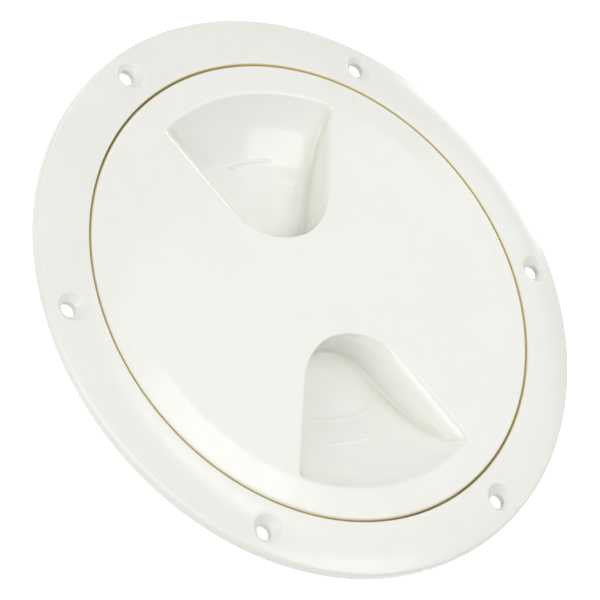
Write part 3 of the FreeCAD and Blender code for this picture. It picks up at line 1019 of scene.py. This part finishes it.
# %% [markdown]
# ## The seal ring
#
# The rubber ring is a square section with its corners eased, turned all the way round. Rubber
# would flatten a little when the lid is screwed down. It is made here at its free size, with
# room above and below, so that no surface cuts another.

# %% Seal ring
SEAL_COUNT = 192
SEAL_ROUNDING = 0.35
seal_inner = SEAL_RADIUS - (SEAL_TOP - SEAL_BOTTOM)
seal_corners = ((seal_inner, SEAL_BOTTOM), (SEAL_RADIUS, SEAL_BOTTOM),
                (SEAL_RADIUS, SEAL_TOP), (seal_inner, SEAL_TOP))
seal_section = softened([(r, z, SEAL_ROUNDING) for r, z in seal_corners], closed=True)
seal_patches = [turned_patch(seal_section, SEAL_COUNT, closed=True)]
print("seal section:", len(seal_section), "points")

# %% [markdown]
# ## Building node trees
#
# A finish is a tree of small nodes. These helpers make one node each and return its output, so
# that a tree reads like a sum. A value given to a helper may be a number, a colour, or the
# output of another node.

# %% Helpers for nodes and groups


def new_group(name, inputs, outputs):
    """A shader node group with inputs (name: default) and outputs (name: socket type)."""
    group = bpy.data.node_groups.new(name, "ShaderNodeTree")
    for label, value in inputs.items():
        kind = "NodeSocketColor" if isinstance(value, tuple) else "NodeSocketFloat"
        socket = group.interface.new_socket(label, in_out="INPUT", socket_type=kind)
        socket.default_value = value
    for label, kind in outputs.items():
        group.interface.new_socket(label, in_out="OUTPUT", socket_type=kind)
    return group, group.nodes.new("NodeGroupInput"), group.nodes.new("NodeGroupOutput")


def feed(tree, node, values):
    """Gives a node's inputs, by name or number, a number, a colour or a link each."""
    for label, value in values.items():
        if isinstance(value, tuple):
            node.inputs[label].default_value = (*value, 1.0)
        elif isinstance(value, (int, float)):
            node.inputs[label].default_value = value
        else:
            tree.links.new(value, node.inputs[label])
    return node


def add_noise(tree, place, scale, detail):
    noise = tree.nodes.new("ShaderNodeTexNoise")
    return feed(tree, noise, {"Scale": scale, "Detail": detail, "Vector": place}).outputs["Fac"]


def add_range(tree, value, low, high, out_low=0.0, out_high=1.0, kind="SMOOTHSTEP"):
    span = tree.nodes.new("ShaderNodeMapRange")
    span.interpolation_type = kind
    feed(tree, span, {
        "Value": value, "From Min": low, "From Max": high, "To Min": out_low, "To Max": out_high})
    return span.outputs["Result"]


def add_math(tree, operation, a, b=0.0):
    node = tree.nodes.new("ShaderNodeMath")
    node.operation = operation
    return feed(tree, node, {0: a, 1: b}).outputs[0]


def add_mix(tree, factor, a, b):
    mix = tree.nodes.new("ShaderNodeMix")
    mix.data_type = "RGBA"
    return feed(tree, mix, {"Factor": factor, "A": a, "B": b}).outputs["Result"]


def add_group(tree, group, values):
    placed = tree.nodes.new("ShaderNodeGroup")
    placed.node_tree = group
    return feed(tree, placed, values)


def add_material(name):
    """A new material and its node tree, which starts with one shader."""
    material = bpy.data.materials.new(name)
    material.use_nodes = True
    return material, material.node_tree


helpers = (new_group, feed, add_noise, add_range, add_math, add_mix, add_group, add_material)
print("helpers:", [helper.__name__ for helper in helpers])

# %% [markdown]
# ## The moulded surface
#
# The mouldings are a glossy plastic in a slightly warm white. Seen close up, such a surface
# has a faint unevenness from the way it shrank in the mould, a few cloudy patches that are a
# touch less glossy, and fine dust and handling marks that dull it. One node group makes these
# for every finish on the plate, from the object's own coordinates.

# %% Node group for the moulded surface
# Each noise is a scale and a detail
CLOUD_NOISE, CLOUD_RANGE = (32.0, 3.0), (0.42, 0.68)
MOTTLE_NOISE, MOTTLE_RANGE = (170.0, 4.0), (0.4, 0.7)
SHRINK_NOISE = (60.0, 1.0)
GRAIN_NOISE, GRAIN_SHARE = (1800.0, 2.0), 0.06


def moulded_surface_group():
    group, entry, out = new_group(
        "moulded_surface",
        {"Tone": (0.8, 0.8, 0.8, 1.0), "Cloud tone": (0.7, 0.7, 0.7, 1.0),
         "Gloss low": 0.2, "Gloss high": 0.3, "Grain": 1.0},
        {"Color": "NodeSocketColor", "Roughness": "NodeSocketFloat", "Height": "NodeSocketFloat"})
    place = group.nodes.new("ShaderNodeTexCoord").outputs["Object"]
    cloud = add_range(group, add_noise(group, place, *CLOUD_NOISE), *CLOUD_RANGE)
    mottle = add_range(group, add_noise(group, place, *MOTTLE_NOISE), *MOTTLE_RANGE)
    both = add_math(group, "MULTIPLY", add_math(group, "ADD", cloud, mottle), 0.5)
    tone = add_mix(group, both, entry.outputs["Tone"], entry.outputs["Cloud tone"])
    gloss = (entry.outputs["Gloss low"], entry.outputs["Gloss high"])
    roughness = add_range(group, both, 0.0, 1.0, *gloss, "LINEAR")
    shrink = add_noise(group, place, *SHRINK_NOISE)
    grain = add_noise(group, place, *GRAIN_NOISE)
    fine = add_math(group, "MULTIPLY", grain, entry.outputs["Grain"])
    fine = add_math(group, "MULTIPLY", fine, GRAIN_SHARE)
    height = add_math(group, "ADD", shrink, fine)
    feed(group, out, {"Color": tone, "Roughness": roughness, "Height": height})
    return group


surface_group = moulded_surface_group()
print("node group:", surface_group.name, [s.name for s in surface_group.interface.items_tree])

# %% [markdown]
# ## The joint
#
# The joint between lid and ring is a deep, narrow slot. Light comes back out of it olive-brown,
# after many bounces between cream walls that aren't quite opaque and that hold dust. The walls
# of the slot get a painted shade, a darker olive tint, and a painted glow for that light. A mask
# by radius and height finds them.

# %% Mask for the joint
JOINT_MIDDLE = (LID_RADIUS + SEAT_RADIUS) / 2
JOINT_REACH = 0.8
JOINT_SIDES = (0.5, 1.0)
JOINT_START = (0.05, 0.7)
JOINT_END = (JOINT_TOP - SEAT_LEVEL + 0.5, JOINT_TOP - SEAT_LEVEL + 1.0)


# Where the painted shade and painted glow go: the walls of the slot, below its top
def joint_painted_light_mask_group():
    group, entry, out = new_group(
        "joint_painted_light_mask", {"Middle": 72.0, "Reach": 0.8, "Top": 4.0}, {"Mask": "NodeSocketFloat"})
    split = group.nodes.new("ShaderNodeSeparateXYZ")
    group.links.new(group.nodes.new("ShaderNodeTexCoord").outputs["Object"], split.inputs[0])
    squares = [add_math(group, "MULTIPLY", part, part) for part in split.outputs[:2]]
    radius = add_math(group, "SQRT", add_math(group, "ADD", *squares))
    radius = add_math(group, "MULTIPLY", radius, 1 / MM)
    away = add_math(group, "SUBTRACT", radius, entry.outputs["Middle"])
    away = add_math(group, "ABSOLUTE", away)
    near = add_math(group, "DIVIDE", away, entry.outputs["Reach"])
    beside = add_range(group, near, *JOINT_SIDES, 1.0, 0.0)
    height = add_math(group, "MULTIPLY", split.outputs["Z"], 1 / MM)
    depth = add_math(group, "SUBTRACT", entry.outputs["Top"], height)
    down = add_range(group, depth, *JOINT_START)
    above_seat = add_range(group, depth, *JOINT_END, 1.0, 0.0)
    both = add_math(group, "MULTIPLY", down, above_seat)
    group.links.new(add_math(group, "MULTIPLY", beside, both), out.inputs["Mask"])
    return group


joint_light_group = joint_painted_light_mask_group()
print("node group:", joint_light_group.name)

# %% [markdown]
# ## The creases
#
# Where a pocket's wall meets its floor, the lid is painted darker and greener: painted shade
# for the shade in that crease. That line can't be found from coordinates alone, so each mesh
# carries a value at its points that says how close it is, and a material reads it as an attribute.

# %% Closeness to a pocket's crease
SHADE_NAME = "pocket_shade"
SHADE_REACH = 1.7


def pocket_shade(points):
    """How close points are to the line where a pocket's wall and floor meet, from 0 to 1."""
    x, y = to_first_pocket(points[:, 0], points[:, 1])
    depth = np.clip(LID_TOP - points[:, 2], 0, POCKET_DEPTH)
    from_wall = inside_outline(x, y, depth)
    from_floor = points[:, 2] - floor_level(np.hypot(x, y))
    near = np.exp(-(from_wall ** 2 + from_floor ** 2) / SHADE_REACH ** 2)
    return near * np.clip(depth / SHADE_REACH, 0, 1)


print("most shade on a wall:", pocket_shade(wall_band[0]).max().round(2))

# %% [markdown]
# ## Finishes
#
# Every finish starts from the moulded surface, with its own tones, gloss and bump. The group
# gives what changes over the surface, and the shader itself stays in the material.

# %% A moulded finish
BUMP_DISTANCE = 0.0001


def moulded(name, tone, cloud_tone, gloss, bump_strength, grain=1.0):
    """A material with the moulded surface on its shader."""
    material, tree = add_material(name)
    surface = add_group(tree, surface_group, {
        "Tone": tone, "Cloud tone": cloud_tone, "Grain": grain,
        "Gloss low": gloss[0], "Gloss high": gloss[1]})
    surface.name = "surface"
    bump = feed(tree, tree.nodes.new("ShaderNodeBump"), {
        "Strength": bump_strength, "Distance": BUMP_DISTANCE, "Height": surface.outputs["Height"]})
    feed(tree, tree.nodes["Principled BSDF"], {
        "Base Color": surface.outputs["Color"], "Roughness": surface.outputs["Roughness"],
        "Normal": bump.outputs["Normal"]})
    return material


print("bump distance:", BUMP_DISTANCE, "m")

# %% [markdown]
# The two mouldings add the joint's painted shade and weak painted glow, and a painted shade
# along the pockets' creases. The lid is handled and wiped more than the ring, so it is a little
# glossier, and the ring's tone is a little darker than the lid's: painted shade for the flange.
# The seal is black rubber, matte and more grainy.

# %% White plastic and black rubber
CLOUD_PART = 0.975
PLASTIC_BUMP = 0.25
LID_TONE = (0.83, 0.835, 0.79)
LID_GLOSS = (0.09, 0.15)
# Painted shade (a darker olive tint) and a painted glow in the joint's slot, on lid and ring
LID_JOINT_SHADE_TONE = (0.80, 0.75, 0.54)
LID_JOINT_PAINTED_GLOW = 0.02
RING_PAINTED_SHADE_TONE = (0.808, 0.813, 0.768)
# Painted shade: the ring is the lid's plastic a little darker, for the flange's darker look
RING_GLOSS = (0.13, 0.2)
RING_JOINT_SHADE_TONE = (0.80, 0.69, 0.30)
RING_JOINT_PAINTED_GLOW = 0.06
JOINT_PAINTED_GLOW_TONE = (0.92, 0.76, 0.40)
# Painted shade along the pockets' creases
SHADE_STRENGTH = 0.7
SHADE_TONE = (0.70, 0.725, 0.60)
RUBBER_TONE = (0.022, 0.022, 0.021)
RUBBER_CLOUD_TONE = (0.045, 0.044, 0.041)
RUBBER_GLOSS = (0.55, 0.8)
RUBBER_GRAIN = 4.0
RUBBER_BUMP = 0.5


def white_plastic(name, tone, gloss, joint_shade_tone, joint_painted_glow):
    """The mouldings' plastic, with painted shade and glow in the joint, painted shade in the creases.
    """
    material = moulded(name, tone, tuple(CLOUD_PART * c for c in tone), gloss, PLASTIC_BUMP)
    tree = material.node_tree
    where = {"Middle": JOINT_MIDDLE, "Reach": JOINT_REACH, "Top": JOINT_TOP}
    # The joint's mask drives a painted shade tint and a painted glow in the slot
    mask = add_group(tree, joint_light_group, where).outputs["Mask"]
    joint_shaded = add_mix(tree, mask, tree.nodes["surface"].outputs["Color"], joint_shade_tone)
    glow = add_mix(tree, mask, (0.0, 0.0, 0.0), JOINT_PAINTED_GLOW_TONE)
    # Painted shade: the tone darkens towards SHADE_TONE along each pocket's crease
    crease = tree.nodes.new("ShaderNodeAttribute")
    crease.attribute_name = SHADE_NAME
    crease_shade_amount = add_math(tree, "MULTIPLY", crease.outputs["Fac"], SHADE_STRENGTH)
    crease_shaded_tone = add_mix(tree, crease_shade_amount, joint_shaded, SHADE_TONE)
    feed(tree, tree.nodes["Principled BSDF"], {
        "Emission Color": glow, "Emission Strength": joint_painted_glow, "Base Color": crease_shaded_tone})
    return material


lid_plastic = white_plastic("lid_white_plastic", LID_TONE, LID_GLOSS, LID_JOINT_SHADE_TONE, LID_JOINT_PAINTED_GLOW)
ring_plastic = white_plastic(
    "ring_white_plastic", RING_PAINTED_SHADE_TONE, RING_GLOSS, RING_JOINT_SHADE_TONE, RING_JOINT_PAINTED_GLOW)
rubber = moulded(
    "black_seal_rubber", RUBBER_TONE, RUBBER_CLOUD_TONE, RUBBER_GLOSS, RUBBER_BUMP, RUBBER_GRAIN)
print("materials:", [m.name for m in (lid_plastic, ring_plastic, rubber)])

# %% [markdown]
# ## From patches to pieces
#
# The patches of a moulding share their edge points, so welding points that coincide closes
# the skin. A closed skin has no open edge, and that is easy to count, so each piece says how
# many it has. Then it replaces its node and rides on its body.

# %% Weld the patches into pieces
def make_piece(name, patches, material, node, body):
    """Welds patches into one closed skin, which replaces a node and rides on its body."""
    mesh = bpy.data.meshes.new(name)
    points = np.vstack([p for p, _ in patches]) * MM
    faces = []
    start = 0
    for patch_points, patch_faces in patches:
        faces += [tuple(start + i for i in face) for face in patch_faces]
        start += len(patch_points)
    mesh.from_pydata(points.tolist(), [], faces)
    skin = bmesh.new()
    skin.from_mesh(mesh)
    bmesh.ops.remove_doubles(skin, verts=skin.verts, dist=WELD * MM)
    bmesh.ops.dissolve_degenerate(skin, edges=skin.edges, dist=WELD * MM / 4)
    bmesh.ops.delete(skin, geom=[v for v in skin.verts if not v.link_faces], context="VERTS")
    bmesh.ops.recalc_face_normals(skin, faces=skin.faces)
    open_edges = sum(1 for edge in skin.edges if len(edge.link_faces) != 2)
    volume = skin.calc_volume(signed=True) / MM ** 3
    skin.to_mesh(mesh)
    skin.free()
    mesh.shade_smooth()
    places = np.empty(3 * len(mesh.vertices))
    mesh.vertices.foreach_get("co", places)
    shade = np.zeros(len(mesh.vertices))
    if node == "screw_lid":
        shade = pocket_shade(places.reshape(-1, 3) / MM)
    attribute = mesh.attributes.new(SHADE_NAME, "FLOAT", "POINT")
    attribute.data.foreach_set("value", shade.astype(np.float32))
    piece = add_object(name, mesh)
    mesh.materials.append(material)
    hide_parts(node)
    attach(piece, body)
    print(name, len(mesh.polygons), "faces,", open_edges, "open edges, volume", round(volume), "mm3")


make_piece("lid_moulding", lid_patches, lid_plastic, "screw_lid", "lid")
make_piece("ring_moulding", ring_patches, ring_plastic, "deck_ring", "deck_ring")
make_piece("seal_rubber_ring", seal_patches, rubber, "seal_ring", "seal")

# %% [markdown]
# ## Floor and light
#
# The plate is shown on plain white. The floor is pale, and to the camera and in reflections
# it glows a little, so that it reaches white without more light on the plate, and it keeps
# the plate's shadow. The first part of the light is a pale world all round.

# %% Floor and world
FLOOR_LEVEL = (COLLAR_BOTTOM - 0.05) * MM
FLOOR_HALF = 4.0
FLOOR_GREY = 0.75
FLOOR_ROUGHNESS = 0.8
FLOOR_GLOW = 0.7
WORLD_TONE = (1.0, 1.0, 0.99)
WORLD_STRENGTH = 0.455


def make_floor():
    mesh = bpy.data.meshes.new("studio_floor")
    corners = [(x * FLOOR_HALF, y * FLOOR_HALF, FLOOR_LEVEL)
               for x, y in ((-1, -1), (1, -1), (1, 1), (-1, 1))]
    mesh.from_pydata(corners, [], [(0, 1, 2, 3)])
    add_object("studio_floor", mesh)
    material, tree = add_material("pale_studio_floor")
    path = tree.nodes.new("ShaderNodeLightPath")
    seen = path.outputs["Is Camera Ray"]
    for ray in ("Is Glossy Ray", "Is Transmission Ray"):
        seen = add_math(tree, "MAXIMUM", seen, path.outputs[ray])
    glow = add_math(tree, "MULTIPLY", seen, FLOOR_GLOW)
    feed(tree, tree.nodes["Principled BSDF"], {
        "Base Color": (FLOOR_GREY,) * 3, "Roughness": FLOOR_ROUGHNESS,
        "Emission Color": (1.0, 1.0, 1.0), "Emission Strength": glow})
    mesh.materials.append(material)


make_floor()
world = bpy.data.worlds.new("studio_world")
bpy.context.scene.world = world
world.use_nodes = True
background = world.node_tree.nodes["Background"]
feed(world.node_tree, background, {"Color": WORLD_TONE, "Strength": WORLD_STRENGTH})
print("floor at", round(FLOOR_LEVEL / MM, 2), "mm, world at", WORLD_STRENGTH)

# %% [markdown]
# The second part is panels, which give the glossy plastic something to reflect. Each looks at
# the plate's centre. A row gives where it stands, its two sides in metres, how far it is rolled
# about its own axis, and its power. The smallest sharpens the bright patch in the upper pocket.

# %% Soft panels
LAMP_DISTANCE = 1.3
LAMPS = (
    # name, azimuth, elevation, side, other side, roll, power
    ("main_panel", 12, 50, 0.67, 0.70, 0, 1.4),
    ("pocket_panel", 330, 57, 0.55, 0.38, 30, 1.5),
    ("edge_panel", 21, 61, 0.24, 0.12, 0, 0.22),
    ("rim_panel", 28, 22, 0.34, 0.22, 0, 1.5),
    ("back_fill", 92, 33, 0.6, 0.6, 0, 2.4),
    ("front_fill", 238, 72, 0.7, 0.7, 0, 4.2),
    ("left_fill_low", 190, 20, 0.8, 0.6, 0, 4.6),
    ("left_fill_high", 200, 38, 0.8, 0.8, 0, 1.2),
)

for name, azimuth, elevation, side, other_side, roll, power in LAMPS:
    data = bpy.data.lights.new(name, "AREA")
    data.shape = "RECTANGLE"
    data.size, data.size_y = side, other_side
    data.energy = power
    lamp = add_object(name, data)
    a, e = math.radians(azimuth), math.radians(elevation)
    place = LAMP_DISTANCE * Vector((math.cos(e) * math.cos(a), math.cos(e) * math.sin(a), math.sin(e)))
    facing = place.to_track_quat("Z", "Y").to_matrix() @ Matrix.Rotation(math.radians(roll), 3, "Z")
    lamp.matrix_world = Matrix.Translation(place) @ facing.to_4x4()
bpy.context.scene.view_settings.view_transform = "Standard"

# %% [markdown]
